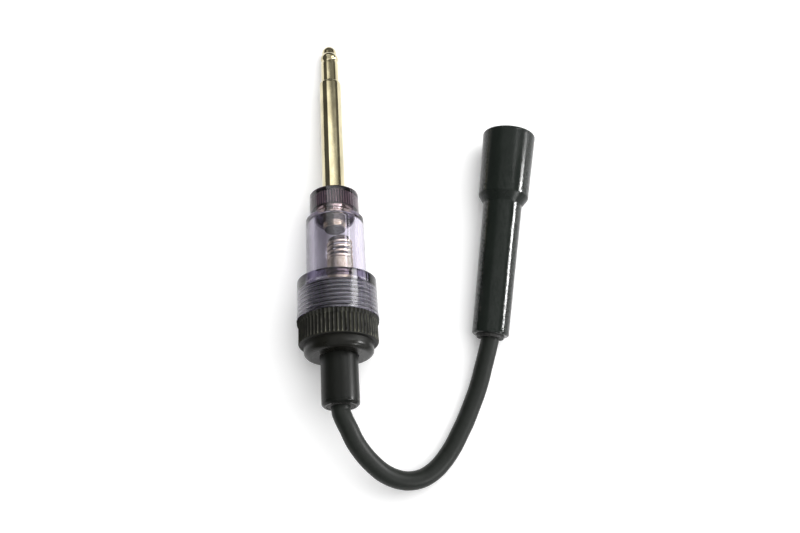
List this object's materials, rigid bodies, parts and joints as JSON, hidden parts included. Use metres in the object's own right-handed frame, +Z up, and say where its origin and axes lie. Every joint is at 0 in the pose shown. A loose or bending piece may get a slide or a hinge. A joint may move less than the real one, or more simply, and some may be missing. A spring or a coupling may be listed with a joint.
{
  "type": "spark plug tester",
  "caption": "In-line spark plug tester: contact pin, clear barrel whose spark gap is set by a ribbed screw nut, short lead and rubber plug boot.",
  "frame": {"origin": "on the table under the middle of the tester, without its lead and boot", "axes": "+Z up, +Y along the table towards the contact pin's nose, +X towards the boot; the tester's own axis slopes down towards the nose by 6.2 degrees, as it rests"},
  "size_m": [0.0679, 0.1304, 0.0225],
  "materials": {
    "pin_metal": "polished yellow-plated turned metal",
    "clear_plastic": "clear violet-tinted moulding",
    "nut_plastic": "matt black moulding with an olive cast",
    "gland_plastic": "satin black moulding",
    "bush_plastic": "soft black plastic",
    "electrode_metal": "turned",
    "spring_steel": "bright wire",
    "copper": "bare copper",
    "lead_cover": "satin black insulation",
    "boot_rubber": "glossy black rubber"
  },
  "bodies": {
    "lead_assembly": {"lead_gland": "gland_plastic", "gland_bush": "bush_plastic", "lower_electrode": "electrode_metal", "contact_spring": "spring_steel", "lead_ferrule": "copper", "lead_insulation": "lead_cover", "lead_conductor": "copper", "boot_bush": "bush_plastic", "plug_boot": "boot_rubber", "plug_socket": "electrode_metal", "socket_clip": "spring_steel"},
    "nut": {"gap_nut": "nut_plastic", "retaining_ring": "spring_steel"},
    "barrel_assembly": {"barrel": "clear_plastic", "contact_pin": "pin_metal"}
  },
  "joints": [
    {"name": "nut_turn", "type": "hinge", "parent": "lead_assembly", "child": "nut", "pos_m": [0, -0.03194, 0.01159], "axis": [0, -0.9941, 0.108], "range_deg": [0, 1440]},
    {"name": "barrel_slide", "type": "slide", "parent": "lead_assembly", "child": "barrel_assembly", "axis": [0, 0.9941, -0.108], "range_m": [0, 0.0046]}
  ],
  "couplings": [
    {"joint": "nut_turn", "follows": "barrel_slide", "rad_per_m": 5463.6}
  ]
}
